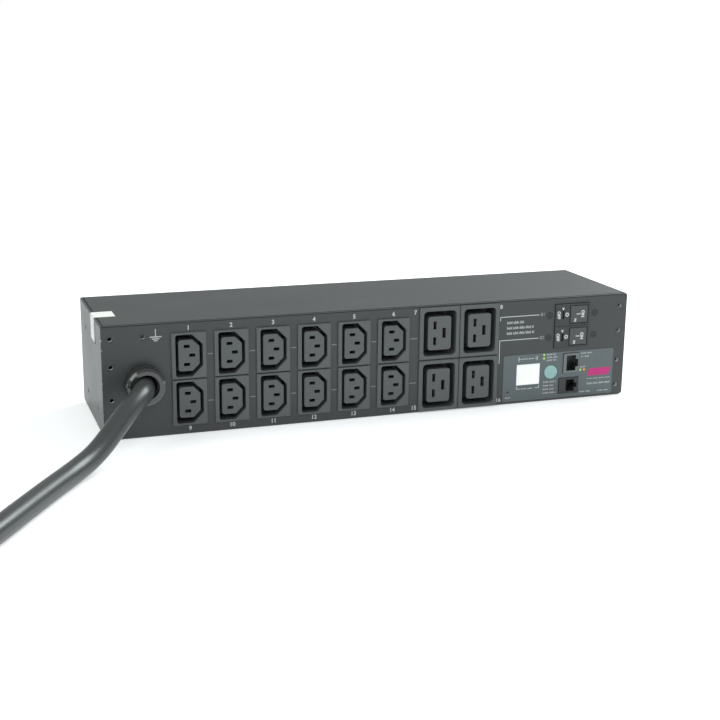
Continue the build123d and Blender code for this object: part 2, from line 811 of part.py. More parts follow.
with BuildPart() as control_board:
    with BuildSketch(front((board_left + board_end) / 2, (board_low + board_high) / 2, -tray_sheet - board_back)):
        Rectangle(board_end - board_left, board_high - board_low)
        chamfer(vertices(), 1.0)
    extrude(amount=-board_t)
    with BuildSketch(front(0, 0, -tray_sheet - board_back)):
        with Locations(*board_screw_places):
            Circle(screw_shank_r + screw_gap)
    extrude(amount=-board_t, mode=Mode.SUBTRACT)
save(control_board, "control_board")

with BuildPart() as board_standoffs:
    for x, z in board_screw_places:
        with BuildSketch(front(x, z, -tray_sheet)):
            Circle(standoff_r)
        extrude(amount=-board_back)
        with BuildSketch(front(x, z, -tray_sheet - board_back)):
            Circle(screw_shank_r + screw_gap)
        extrude(amount=board_back / 2, mode=Mode.SUBTRACT)
save(board_standoffs, "board_standoffs")

# Pan head screws: three hold the cover, four hold the board
pan_screw_seats = [
    Plane(origin=(x, rear_y, z), x_dir=(-1, 0, 0), z_dir=(0, 1, 0)) for x, z in cover_screw_places
] + [
    Plane(origin=(x, board_y + board_t, z), x_dir=(-1, 0, 0), z_dir=(0, 1, 0)) for x, z in board_screw_places
]
with BuildPart() as pan_screws:
    for seat in pan_screw_seats:
        with BuildSketch(seat):
            Circle(screw_head_r)
        extrude(amount=screw_head_t, taper=12)
        with BuildSketch(seat):
            Circle(screw_shank_r)
        extrude(amount=-screw_length)
save(pan_screws, "pan_screws")

# Display: a pale block on the board whose face lies back inside its own rim
display_out = overlay_t - slide_gap
with BuildPart() as display_module:
    centre = (overlay_left + display_x + display_w / 2, overlay_z + display_z + display_h / 2)
    with BuildSketch(front(*centre, display_out)):
        Rectangle(display_w, display_h)
    extrude(amount=-(display_out + tray_sheet + board_back))
    with BuildSketch(front(*centre, display_out)):
        Rectangle(display_w - 2 * display_rim, display_h - 2 * display_rim)
    extrude(amount=-display_recess, mode=Mode.SUBTRACT)
save(display_module, "display_module")

# Round button with a retaining flange and a stem into its switch
button_front = overlay_t + button_proud
switch_front = -tray_sheet - board_back + switch_t
with BuildPart() as select_button:
    place = (overlay_left + button_x, overlay_z + button_z)
    with BuildSketch(front(*place, button_front)):
        Circle(button_r)
    extrude(amount=-(button_front + tray_sheet + fit_gap))
    chamfer(select_button.faces().sort_by(Axis.Y)[0].edges(), 0.5)
    with BuildSketch(front(*place, -tray_sheet - fit_gap)):
        Circle(button_flange_r)
    extrude(amount=-button_flange_t)
    with BuildSketch(front(*place, -tray_sheet - fit_gap - button_flange_t)):
        Circle(button_stem_r)
    extrude(amount=switch_front + tray_sheet + fit_gap + button_flange_t - plunger_t + button_travel + fit_gap)
save(select_button, "select_button")

with BuildPart() as tact_switches:
    for x, z in ((button_x, button_z), (reset_x, reset_z)):
        with BuildSketch(front(overlay_left + x, overlay_z + z, switch_front)):
            Rectangle(switch_side, switch_side)
        extrude(amount=-switch_t)
        with BuildSketch(front(overlay_left + x, overlay_z + z, switch_front)):
            Circle(plunger_r + slide_gap)
        extrude(amount=-plunger_t, mode=Mode.SUBTRACT)
save(tact_switches, "tact_switches")

# Reset plunger: sits in its switch, reached with a pin through the small hole
with BuildPart() as reset_plunger:
    with BuildSketch(front(overlay_left + reset_x, overlay_z + reset_z, -tray_sheet - 0.6)):
        Circle(plunger_r)
    extrude(amount=switch_front + tray_sheet + 0.6 - plunger_t + reset_travel + slide_gap)
save(reset_plunger, "reset_plunger")

with BuildPart() as indicator_leds:
    for x, z in led_places:
        with BuildSketch(front(overlay_left + x, overlay_z + z, overlay_t + led_proud)):
            Circle(led_r)
        extrude(amount=-(overlay_t + led_proud + tray_sheet + board_back))
save(indicator_leds, "indicator_leds")


def jack(x, z, w, h, mouth_x, mouth_w, mouth_h, notch, node):
    """A socket for a modular plug, lying on its side with the latch notch to the right."""
    jack_out = overlay_t + jack_proud
    jack_long = jack_out + tray_sheet + board_back
    mouth = front(overlay_left + x + mouth_x + mouth_w / 2 - notch[0] / 2, overlay_z + z + h / 2, jack_out)
    with BuildPart() as body:
        with BuildSketch(front(overlay_left + x + w / 2, overlay_z + z + h / 2, jack_out)):
            Rectangle(w, h)
        extrude(amount=-jack_long)
        with BuildSketch(mouth):
            Rectangle(mouth_w - notch[0], mouth_h)
            with Locations((mouth_w / 2, 0)):
                Rectangle(2 * notch[0], notch[1])
        extrude(amount=-(jack_long - jack_depth_left), mode=Mode.SUBTRACT)
    save(body, node)


jack(rj45_x, rj45_z, rj45_w, rj45_h, rj45_mouth_x, rj45_mouth_w, rj45_mouth_h, rj45_notch, "network_jack")
jack(rj12_x, rj12_z, rj12_w, rj12_h, rj12_mouth_x, rj12_mouth_w, rj12_mouth_h, rj12_notch, "serial_jack")

with BuildPart() as jack_contacts:
    for x, z, h, mouth_x, pins in (
        (rj45_x, rj45_z, rj45_h, rj45_mouth_x, rj45_pins),
        (rj12_x, rj12_z, rj12_h, rj12_mouth_x, rj12_pins),
    ):
        for i in range(pins):
            pin_z = overlay_z + z + h / 2 + (i - (pins - 1) / 2) * pin_pitch
            wire_x = overlay_left + x + mouth_x
            with BuildSketch(Plane(origin=(0, 0, pin_z))):
                with BuildLine():
                    y0 = front_y + tray_sheet + board_back - jack_depth_left
                    Polyline((wire_x, y0), (wire_x, y0 - 8.0), (wire_x + 2.4, y0 - 1.5), (wire_x + 2.4, y0), close=True)
                make_face()
            extrude(amount=pin_side / 2, both=True)
save(jack_contacts, "jack_contacts")

# Cable gland: collar and thread through the panel, lock nut inside, sealing ring and dome nut outside
gland_axis = front(gland_x, gland_z)
thread_out = gland_nut_out - 4.0
with BuildPart() as gland_body:
    with BuildSketch(gland_axis):
        RegularPolygon(gland_collar_r, 6)
    extrude(amount=gland_collar_t)
    with BuildSketch(gland_axis.offset(gland_collar_t)):
        Circle(gland_thread_r)
    extrude(amount=thread_out - gland_collar_t - gland_seal_t)
    with BuildSketch(gland_axis):
        Circle(gland_thread_r)
    extrude(amount=-(tray_sheet + gland_thread_in))
    with BuildSketch(gland_axis.offset(thread_out)):
        Circle(cord_d / 2 + cord_gap)
    extrude(amount=-(thread_out + tray_sheet + gland_thread_in + 1.0), mode=Mode.SUBTRACT)
save(gland_body, "gland_body")

with BuildPart() as gland_seal:
    with BuildSketch(gland_axis.offset(thread_out - gland_seal_t)):
        Circle(gland_thread_r - 0.6)
        Circle(cord_d / 2 + cord_gap, mode=Mode.SUBTRACT)
    extrude(amount=gland_seal_t)
save(gland_seal, "gland_seal")

with BuildPart() as gland_nut:
    with BuildSketch(gland_axis.offset(gland_collar_t)):
        RegularPolygon(gland_nut_flats / 2, 12, major_radius=False)
    extrude(amount=gland_nut_out - gland_collar_t)
    with BuildSketch(Plane.XY.offset(gland_z)) as dome_cut:
        with BuildLine():
            far = gland_nut_out + 2.0
            Polyline(
                (gland_x, front_y),
                (gland_x + gland_nut_r, front_y),
                (gland_x + gland_nut_r, front_y - gland_nut_out + gland_nut_shoulder),
                (gland_x + gland_nut_r - 1.3, front_y - gland_nut_out + 1.6),
                (gland_x + gland_nut_r - 3.2, front_y - gland_nut_out),
                (gland_x, front_y - gland_nut_out),
                close=True,
            )
        make_face()
    revolve(axis=Axis((gland_x, front_y, gland_z), (0, 1, 0)), mode=Mode.INTERSECT)
    with BuildSketch(gland_axis.offset(gland_nut_out)):
        Circle(gland_mouth_r)
    extrude(amount=-gland_nut_out, mode=Mode.SUBTRACT)
    with BuildSketch(gland_axis.offset(thread_out)):
        Circle(gland_thread_r + slide_gap)
    extrude(amount=-thread_out, mode=Mode.SUBTRACT)
save(gland_nut, "gland_nut")

with BuildPart() as gland_lock_nut:
    with BuildSketch(front(gland_x, gland_z, -tray_sheet)):
        RegularPolygon(lock_nut_flats / 2, 6, major_radius=False)
        Circle(gland_thread_r + slide_gap, mode=Mode.SUBTRACT)
    extrude(amount=-lock_nut_t)
save(gland_lock_nut, "gland_lock_nut")

# Mains cord: out of the gland, down to the floor, and away to its coil
cord_r = cord_d / 2
lay_z = cord_r + floor_gap
coil_outer_turn = coil_inner_turn + (coil_turns_wide - 1) * cord_d
cord_start_y = front_y + cord_inside
meet_x = 0.83
meet_y = -0.56
cord_end = (coil_x + meet_x * coil_outer_turn, coil_y + meet_y * coil_outer_turn, lay_z)
cord_points = [
    (gland_x, cord_start_y, gland_z),
    (gland_x - 0.3, front_y - 16.4, gland_z),
    (-202.6, -89.4, 37.2),
    (-217.3, -103.6, 25.2),
    (-234.0, -120.9, 12.8),
    (-252.0, -140.8, lay_z),
    (-269.8, -167.9, lay_z),
    (-290.5, -201.4, lay_z),
    (-315.1, -241.9, lay_z),
    cord_end,
]


def arc_radii(points, share=0.45):
    """The radius of the arc at each inner point: as large as its two runs allow."""
    radii = []
    for before, here, after in zip(points, points[1:], points[2:]):
        run_in = Vector(*here) - Vector(*before)
        run_out = Vector(*after) - Vector(*here)
        turn = radians(run_in.get_angle(run_out))
        radii.append(share * min(run_in.length, run_out.length) / tan(turn / 2))
    return radii


def report_cord(name, radii, path, volume):
    """Prints the bends and the length of a cord, and its volume against its section."""
    whole = path.length * pi * cord_r**2
    print(name, "radii", [round(r, 1) for r in radii])
    print(name, "length", round(path.length, 1), "volume ratio", round(volume / whole, 4))


# The coil: its turns as one closed ring
coil_h = coil_turns_high * cord_d
coil_w = coil_turns_wide * cord_d
coil_mid = (coil_inner_turn + coil_outer_turn) / 2
coil_plane = Plane(origin=(coil_x, coil_y, coil_lift), x_dir=(1, 0, 0), z_dir=(0, -1, 0))
coil_axis = Axis((coil_x, coil_y, 0), (0, 0, 1))
with BuildPart() as cord_coil:
    with BuildSketch(coil_plane):
        with Locations((coil_mid, coil_h / 2)):
            Rectangle(coil_w, coil_h)
        chamfer(vertices(), 0.3 * cord_d)
    revolve(axis=coil_axis)
print("cord_coil length", round(2 * pi * coil_mid * coil_turns_wide * coil_turns_high, 1))
save(cord_coil, "cord_coil")

# The room the coil takes, with the gap that the cord's two ends keep to it
with BuildPart() as coil_room:
    with BuildSketch(coil_plane):
        with Locations((coil_mid, coil_h / 2)):
            Rectangle(coil_w + 2 * tie_gap, coil_h + 2 * tie_gap)
        chamfer(vertices(), 0.3 * cord_d)
    revolve(axis=coil_axis)

# The tail: off the top outer turn, tangent to it, and into the plug
plug_axis_z = plug_ring_r + floor_gap
plug_x = coil_x - coil_outer_turn - 2.4
plug_y = coil_y + coil_tail
tail_top = coil_lift + cord_r + (coil_turns_high - 1) * cord_d
tail_points = [
    (coil_x - coil_outer_turn - 0.2, coil_y + cord_d, tail_top + 0.4),
    (coil_x - coil_outer_turn - 0.6, coil_y + cord_d + 0.27 * coil_tail, tail_top + 0.8),
    (coil_x - coil_outer_turn - 2.0, coil_y + cord_d + 0.55 * coil_tail, plug_axis_z - 0.8),
    (plug_x, plug_y + 0.3 * plug_nut_long, plug_axis_z),
]

cord_radii = arc_radii(cord_points)
tail_radii = arc_radii(tail_points)
with BuildPart() as cord_tube:
    with BuildLine() as cord_path:
        FilletPolyline(*cord_points, radius=cord_radii)
    with BuildSketch(Plane(origin=cord_points[0], z_dir=cord_path.wire() % 0)):
        Circle(cord_r)
    sweep(path=cord_path.wire())
    report_cord("cord_tube", cord_radii, cord_path.wire(), cord_tube.part.volume)
    lead_volume = cord_tube.part.volume
    with BuildLine() as tail_path:
        FilletPolyline(*tail_points, radius=tail_radii)
    with BuildSketch(Plane(origin=tail_points[0], z_dir=tail_path.wire() % 0)):
        Circle(cord_r)
    sweep(path=tail_path.wire())
    report_cord("cord_tail", tail_radii, tail_path.wire(), cord_tube.part.volume - lead_volume)
    add(coil_room.part, mode=Mode.SUBTRACT)
save(cord_tube, "cord_tube")

# Two straps round the coil's section
with BuildPart() as cord_ties:
    for way in (-1, 1):
        with BuildSketch(Plane(origin=(coil_x, coil_y, coil_lift), x_dir=(0, way, 0), z_dir=(way, 0, 0))):
            with Locations((coil_mid, coil_h / 2)):
                Rectangle(coil_w + 2 * tie_gap + 2 * tie_t, coil_h + 2 * tie_gap + 2 * tie_t)
            chamfer(vertices(), 0.3 * cord_d)
            with Locations((coil_mid, coil_h / 2)):
                with BuildSketch(mode=Mode.PRIVATE) as strap_inside:
                    Rectangle(coil_w + 2 * tie_gap, coil_h + 2 * tie_gap)
                    chamfer(vertices(), 0.3 * cord_d)
                add(strap_inside.sketch, mode=Mode.SUBTRACT)
        extrude(amount=tie_w / 2, both=True)
save(cord_ties, "cord_ties")

# Industrial plug on the floor: cable nut, body, shroud with its key, and three pins

def plug_plane(along):
    """A plane across the plug's axis, at a distance from its cable end."""
    return Plane(origin=(plug_x, plug_y + along, plug_axis_z), x_dir=(1, 0, 0), z_dir=(0, 1, 0))


with BuildPart() as plug_nut:
    with BuildSketch(plug_plane(0)):
        RegularPolygon(plug_nut_r, 8)
        Circle(cord_r + cord_gap, mode=Mode.SUBTRACT)
    extrude(amount=plug_nut_long)
save(plug_nut, "plug_nut")

with BuildPart() as plug_body:
    with BuildSketch(plug_plane(plug_nut_long)):
        Circle(plug_body_r - 2.0)
    extrude(amount=plug_body_long * 0.35)
    with BuildSketch(plug_plane(plug_nut_long + plug_body_long * 0.35)):
        Circle(plug_body_r)
    extrude(amount=plug_body_long * 0.65)
    with BuildSketch(plug_plane(plug_nut_long + plug_body_long - 12.0)):
        RegularPolygon(plug_ring_r, 16)
    extrude(amount=12.0)
save(plug_body, "plug_body")

with BuildPart() as plug_shroud:
    with BuildSketch(plug_plane(plug_nut_long + plug_body_long)):
        Circle(plug_shroud_r)
        with Locations((0, -plug_shroud_r)):
            Rectangle(plug_key[0], 2 * (plug_ring_r - plug_shroud_r))
        Circle(plug_shroud_r - plug_shroud_wall, mode=Mode.SUBTRACT)
    extrude(amount=plug_shroud_long)
save(plug_shroud, "plug_shroud")

with BuildPart() as plug_pins:
    for turn, r in ((90, plug_earth_r), (210, plug_pin_r), (330, plug_pin_r)):
        with BuildSketch(plug_plane(plug_nut_long + plug_body_long)):
            with PolarLocations(plug_pin_circle, 1, start_angle=turn):
                Circle(r)
        extrude(amount=plug_pin_long)
save(plug_pins, "plug_pins")

# Terminal block, power supply and current transformers on the bottom of the tray
block_x = left + terminal_block_left + terminal_block_w / 2
block_y = inner_rear_y - terminal_block_rear - terminal_block_d / 2
block_front = block_y - terminal_block_d / 2
block_right = block_x + terminal_block_w / 2
block_top = tray_sheet + terminal_block_h
with BuildPart() as terminal_block:
    with BuildSketch(Plane(origin=(block_x, block_y, tray_sheet))):
        Rectangle(terminal_block_w, terminal_block_d)
        chamfer(vertices(), 1.5)
    extrude(amount=terminal_block_h)
save(terminal_block, "terminal_block")

with BuildPart() as power_supply:
    supply_y = inner_rear_y - supply_rear - supply_d / 2
    with BuildSketch(Plane(origin=(supply_x, supply_y, tray_sheet))):
        Rectangle(supply_w, supply_d)
        fillet(vertices(), 1.5)
    extrude(amount=supply_h)
    chamfer(power_supply.faces().sort_by(Axis.Z)[-1].edges(), 1.0)
save(power_supply, "power_supply")

transformer_z = tray_sheet + transformer_h / 2
with BuildPart() as current_transformers:
    for y in transformer_y:
        with BuildSketch(Plane(origin=(transformer_x, y, transformer_z), x_dir=(0, 1, 0), z_dir=(1, 0, 0))):
            Rectangle(transformer_d, transformer_h)
            chamfer(vertices().group_by(Axis.Z)[-1], 3.0)
            Circle(transformer_hole_r, mode=Mode.SUBTRACT)
        extrude(amount=transformer_w / 2, both=True)
save(current_transformers, "current_transformers")

# Wires: from the cord's end to the block, then to the breakers and the bus bars
left_lug_x = bar_left + bar_h / 2
right_lug_x = bar_right - bar_h / 2
pole_lug_y = pole_bar_y + bar_t + wire_gap
earth_lug_y = earth_bar_y + bar_t + wire_gap
tab_y = inner_front_y + breaker_body_depth + terminal_long + wire_gap
tab_left = breaker_x - terminal_x
tab_right = breaker_x + terminal_x
loft_z = block_top + wire_gap
core_y = cord_start_y + wire_gap
upper_y = inner_rear_y - 9.0
lower_y = upper_y - 7.0
rise_x = right_lug_x + 14.0
line_routes = [
    [
        (block_right + wire_gap, block_y + 6, 16.0),
        (block_right + 20.0, block_y + 6, 16.0),
        (block_right + 48.0, upper_y, breaker_rows[0]),
        (tab_left, upper_y, breaker_rows[0]),
        (tab_left, tab_y, breaker_rows[0]),
    ],
    [
        (block_right + wire_gap, block_y - 4, 12.0),
        (block_right + 26.0, block_y - 4, 12.0),
        (block_right + 54.0, lower_y, breaker_rows[1]),
        (tab_left, lower_y, breaker_rows[1]),
        (tab_left, tab_y, breaker_rows[1]),
    ],
    [
        (tab_right, tab_y, breaker_rows[0]),
        (tab_right, transformer_y[0] + 4.0, breaker_rows[0]),
        (tab_right + 8.0, transformer_y[0], transformer_z),
        (rise_x, transformer_y[0], transformer_z),
        (rise_x, transformer_y[0], bar_z(0, 1)),
        (right_lug_x, transformer_y[0], bar_z(0, 1)),
        (right_lug_x, pole_lug_y, bar_z(0, 1)),
    ],
    [
        (tab_right, tab_y, breaker_rows[1]),
        (tab_right, transformer_y[1], breaker_rows[1]),
        (tab_right, transformer_y[1], transformer_z),
        (right_lug_x, transformer_y[1], transformer_z),
        (right_lug_x, transformer_y[1], bar_z(1, 1)),
        (right_lug_x, pole_lug_y, bar_z(1, 1)),
    ],
    [
        (gland_x, core_y, gland_z + 4.5),
        (gland_x, core_y + 14, gland_z + 4.5),
        (block_x - 14, block_y - 4, gland_z + 4.5),
        (block_x - 14, block_y - 4, loft_z),
    ],
]
neutral_routes = [
    [
        (left_lug_x, pole_lug_y, bar_z(0, -1)),
        (left_lug_x, block_y - 5, bar_z(0, -1)),
        (left_lug_x, block_y - 5, loft_z),
    ],
    [
        (left_lug_x, pole_lug_y, bar_z(1, -1)),
        (left_lug_x, pole_lug_y + 16, bar_z(1, -1)),
        (left_lug_x, block_front - 14, bar_z(1, -1) - 5),
        (left_lug_x, block_front - wire_gap, bar_z(1, -1) - 5),
    ],
    [
        (gland_x - 4.0, core_y, gland_z - 2.5),
        (gland_x - 4.0, core_y + 16, gland_z - 2.5),
        (gland_x + 9.0, block_front - 15, 12.0),
        (gland_x + 9.0, block_front - wire_gap, 12.0),
    ],
]
earth_routes = [
    [
        (left_lug_x, earth_lug_y, bar_z(0, 0)),
        (left_lug_x, block_y + 7, bar_z(0, 0)),
        (left_lug_x, block_y + 7, loft_z),
    ],
    [
        (left_lug_x, earth_lug_y, bar_z(1, 0)),
        (left_lug_x, earth_lug_y + 10, bar_z(1, 0)),
        (left_lug_x + 10, block_front - 12, bar_z(1, 0) - 7),
        (left_lug_x + 10, block_front - wire_gap, bar_z(1, 0) - 7),
    ],
    [
        (gland_x, inner_front_y + nut_head_t + wire_gap, earth_hole_z),
        (gland_x, block_y + 7, earth_hole_z),
        (gland_x + 4, block_y + 7, loft_z + 8.0),
        (gland_x + 4, block_y + 7, loft_z),
    ],
    [
        (gland_x + 4.5, core_y, gland_z - 2.5),
        (gland_x + 4.5, core_y + 12, gland_z - 2.5),
        (gland_x + 17, block_front - 12, 8.0),
        (gland_x + 17, block_front - wire_gap, 8.0),
    ],
]


def wire_bends(points):
    """The radius at each bend of a wire: the common one, or less where its runs are short."""
    return [min(wire_bend, r) for r in arc_radii(points)]


with BuildPart() as line_wires:
    for points in line_routes:
        with BuildLine() as wire_path:
            FilletPolyline(*points, radius=wire_bends(points))
        with BuildSketch(Plane(origin=points[0], z_dir=wire_path.wire() % 0)):
            Circle(wire_r)
        sweep(path=wire_path.wire())
save(line_wires, "line_wires")

with BuildPart() as neutral_wires:
    for points in neutral_routes:
        with BuildLine() as wire_path:
            FilletPolyline(*points, radius=wire_bends(points))
        with BuildSketch(Plane(origin=points[0], z_dir=wire_path.wire() % 0)):
            Circle(wire_r)
        sweep(path=wire_path.wire())
save(neutral_wires, "neutral_wires")

with BuildPart() as earth_wires:
    for points in earth_routes:
        with BuildLine() as wire_path:
            FilletPolyline(*points, radius=wire_bends(points))
        with BuildSketch(Plane(origin=points[0], z_dir=wire_path.wire() % 0)):
            Circle(wire_r)
        sweep(path=wire_path.wire())
save(earth_wires, "earth_wires")

# Paper seal folded over the cover's left edge
with BuildPart() as seal_sticker:
    with BuildSketch(Plane.XZ.offset(-(seal_y + seal_w / 2))) as seal_profile:
        with Locations((left - seal_t, height + seal_t)):
            Rectangle(seal_top + seal_t, seal_side + seal_t, align=(Align.MIN, Align.MAX))
        fillet(seal_profile.vertices().sort_by(Axis.X)[0:2].sort_by(Axis.Y)[-1], 0.6)
        with Locations((left, height)):
            Rectangle(seal_top + 1.0, seal_side + 1.0, align=(Align.MIN, Align.MAX), mode=Mode.SUBTRACT)
    extrude(amount=seal_w)
save(seal_sticker, "seal_sticker")
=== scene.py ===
import json
import math

import bmesh
import bpy
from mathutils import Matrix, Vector


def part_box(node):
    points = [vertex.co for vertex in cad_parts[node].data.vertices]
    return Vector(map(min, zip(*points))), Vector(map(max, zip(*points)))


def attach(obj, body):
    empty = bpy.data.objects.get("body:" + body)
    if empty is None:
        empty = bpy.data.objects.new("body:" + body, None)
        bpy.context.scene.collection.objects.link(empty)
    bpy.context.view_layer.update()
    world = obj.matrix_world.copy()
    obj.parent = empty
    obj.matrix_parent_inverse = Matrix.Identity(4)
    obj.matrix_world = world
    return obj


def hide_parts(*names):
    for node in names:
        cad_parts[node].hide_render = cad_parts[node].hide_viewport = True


mm = 0.001

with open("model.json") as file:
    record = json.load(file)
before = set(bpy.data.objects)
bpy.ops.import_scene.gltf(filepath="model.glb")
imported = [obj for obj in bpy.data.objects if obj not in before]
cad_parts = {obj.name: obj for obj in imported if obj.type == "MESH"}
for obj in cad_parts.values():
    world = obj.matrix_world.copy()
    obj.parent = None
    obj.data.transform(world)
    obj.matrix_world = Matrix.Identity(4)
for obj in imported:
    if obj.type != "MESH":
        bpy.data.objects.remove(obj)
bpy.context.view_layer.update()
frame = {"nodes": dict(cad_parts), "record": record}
nodes = frame["nodes"]
print("loaded", len(nodes), "nodes")


# small helpers

def deselectAll():
    if bpy.context.object and bpy.context.object.mode != "OBJECT":
        bpy.ops.object.mode_set(mode="OBJECT")
    bpy.ops.object.select_all(action="DESELECT")


def pick(obj):
    deselectAll()
    obj.select_set(True)
    bpy.context.view_layer.objects.active = obj


def bakePlace(obj):
    pick(obj)
    bpy.ops.object.transform_apply(location=True, rotation=True, scale=True)


def joinAll(pieces, name):
    deselectAll()
    for piece in pieces:
        piece.select_set(True)
    bpy.context.view_layer.objects.active = pieces[0]
    if len(pieces) > 1:
        bpy.ops.object.join()
    joined = bpy.context.object
    joined.name = name
    bakePlace(joined)
    return joined


def give(obj, material):
    obj.data.materials.clear()
    obj.data.materials.append(material)


# camera

cameraLook = {
    "place": (-0.34819, -1.00126, 0.30880),
    "turn": (75.4094, -0.6035, -19.1114),
    "lens": 65.779,
    "sensor": 36,
}
deselectAll()
bpy.ops.object.camera_add(
    location=cameraLook["place"],
    rotation=[math.radians(a) for a in cameraLook["turn"]],
)
camera = bpy.context.object
camera.data.lens = cameraLook["lens"]
camera.data.sensor_width = cameraLook["sensor"]
bpy.context.scene.camera = camera
print("camera")


# mains cord

cordSettings = {
    "diameter": 0.016,
    "lead": [
        (-188.1, -46.2, 42.6),
        (-188.4, -71.6, 42.6),
        (-202.6, -89.4, 37.2),
        (-217.3, -103.6, 25.2),
        (-234.0, -120.9, 12.8),
        (-252.0, -140.8, 8.1),
        (-269.8, -167.9, 8.1),
        (-290.5, -201.4, 8.1),
        (-315.1, -241.9, 8.1),
    ],
    "tail": [
        (-516.2, -210.0, 25.4),
        (-516.6, -187.3, 25.8),
        (-518.0, -163.8, 29.8),
        (-518.4, -133.0, 30.6),
    ],
    "coilCentre": (-420.0, -226.0),
    "coilRadii": (96.0, 80.0, 62.5),
    "coilHeights": (9.0, 25.0),
    "startAngle": -34.0,
    "endAngle": -1620.0,
    "pointsInCoil": 56,
    "measured": 2.69,
}

# where the coil changes radius or height: angle at the start and end of the change, and how far it goes
coilMoves = {
    "radius": [
        (-304.0, -394.0, 96.0, 80.0),
        (-664.0, -754.0, 80.0, 62.5),
        (-900.0, -990.0, 62.5, 80.0),
        (-1260.0, -1350.0, 80.0, 96.0),
    ],
    "height": [(-820.0, -900.0, 9.0, 25.0)],
}


def ramp(angle, start, end):
    t = min(max((angle - start) / (end - start), 0.0), 1.0)
    return t * t * (3 - 2 * t)


def coilValue(angle, moves):
    value = moves[0][2]
    for start, end, before, after in moves:
        value += (after - before) * ramp(angle, start, end)
    return value


def coilPoints():
    # control points that hold the line's middle on each turn's radius, lowest outer turn first
    s = cordSettings
    step = (s["endAngle"] - s["startAngle"]) / s["pointsInCoil"]
    for i in range(s["pointsInCoil"]):
        angle = s["startAngle"] + (i + 0.5) * step
        reach = coilValue(angle, coilMoves["radius"]) / math.cos(math.radians(step / 2))
        yield (
            s["coilCentre"][0] + reach * math.cos(math.radians(angle)),
            s["coilCentre"][1] + reach * math.sin(math.radians(angle)),
            coilValue(angle, coilMoves["height"]),
        )


def makeCord():
    s = cordSettings
    points = s["lead"] + list(coilPoints()) + s["tail"]
    curve = bpy.data.curves.new("mainsCord", "CURVE")
    curve.dimensions = "3D"
    spline = curve.splines.new("NURBS")
    spline.points.add(len(points) - 1)
    for knot, point in zip(spline.points, points):
        knot.co = (point[0] * mm, point[1] * mm, point[2] * mm, 1)
        knot.radius = s["diameter"] / 2
    spline.order_u = 3
    spline.use_endpoint_u = True
    spline.resolution_u = 8
    # each point's own radius sets the thickness, because the curve's box reaches that far past its points
    curve.bevel_depth = 1.0
    curve.bevel_resolution = 5
    curve.use_fill_caps = True
    cord = bpy.data.objects.new("mainsCord", curve)
    bpy.context.scene.collection.objects.link(cord)
    return cord


cord = makeCord()
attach(cord, "case")
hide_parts("cord_tube", "cord_coil")
print("cord")


# materials

def newMaterial(name):
    material = bpy.data.materials.new(name)
    material.use_nodes = True
    tree = material.node_tree
    shader = tree.nodes["Principled BSDF"]
    return material, tree, shader


def finish(name, look):
    # a moulded, painted or metal finish: colour varies at two scales, with uneven gloss and a fine bump
    material, tree, shader = newMaterial(name)
    make, link = tree.nodes.new, tree.links.new
    place = make("ShaderNodeTexCoord")
    stretch = make("ShaderNodeMapping")
    stretch.inputs["Scale"].default_value = look.get("stretch", (1, 1, 1))
    link(place.outputs["Object"], stretch.inputs["Vector"])
    cloud = make("ShaderNodeTexNoise")
    cloud.inputs["Scale"].default_value = look.get("cloudScale", 14.0)
    cloud.inputs["Detail"].default_value = 4.0
    link(place.outputs["Object"], cloud.inputs["Vector"])
    speck = make("ShaderNodeTexNoise")
    speck.inputs["Scale"].default_value = look.get("grainScale", 1400.0)
    speck.inputs["Detail"].default_value = 2.0
    link(stretch.outputs["Vector"], speck.inputs["Vector"])
    mixer = make("ShaderNodeMix")
    mixer.data_type = "RGBA"
    base = look["color"]
    spread = look.get("spread", 0.12)
    mixer.inputs["A"].default_value = [c * (1 - spread) for c in base] + [1]
    mixer.inputs["B"].default_value = [min(c * (1 + spread), 1) for c in base] + [1]
    blendIn = make("ShaderNodeMath")
    blendIn.operation = "MULTIPLY_ADD"
    blendIn.inputs[1].default_value = look.get("grainShare", 0.45)
    link(speck.outputs["Fac"], blendIn.inputs[0])
    soft = make("ShaderNodeMath")
    soft.operation = "MULTIPLY"
    soft.inputs[1].default_value = 1 - look.get("grainShare", 0.45)
    link(cloud.outputs["Fac"], soft.inputs[0])
    link(soft.outputs["Value"], blendIn.inputs[2])
    link(blendIn.outputs["Value"], mixer.inputs["Factor"])
    link(mixer.outputs["Result"], shader.inputs["Base Color"])
    rough = make("ShaderNodeMapRange")
    rough.inputs["From Min"].default_value = 0.3
    rough.inputs["From Max"].default_value = 0.7
    rough.inputs["To Min"].default_value = look["roughness"] - look.get("roughSpread", 0.05)
    rough.inputs["To Max"].default_value = look["roughness"] + look.get("roughSpread", 0.05)
    link(cloud.outputs["Fac"], rough.inputs["Value"])
    link(rough.outputs["Result"], shader.inputs["Roughness"])
    bump = make("ShaderNodeBump")
    bump.inputs["Strength"].default_value = look.get("bump", 0.12)
    bump.inputs["Distance"].default_value = look.get("bumpDepth", 0.0002)
    link(speck.outputs["Fac"], bump.inputs["Height"])
    link(bump.outputs["Normal"], shader.inputs["Normal"])
    shader.inputs["Metallic"].default_value = look.get("metal", 0.0)
    shader.inputs["IOR"].default_value = look.get("ior", 1.5)
    if "coat" in look:
        shader.inputs["Coat Weight"].default_value = look["coat"]
        shader.inputs["Coat Roughness"].default_value = look.get("coatRoughness", 0.1)
    if "glow" in look:
        shader.inputs["Emission Color"].default_value = list(look["glow"]) + [1]
        shader.inputs["Emission Strength"].default_value = look.get("glowStrength", 0.3)
    return material


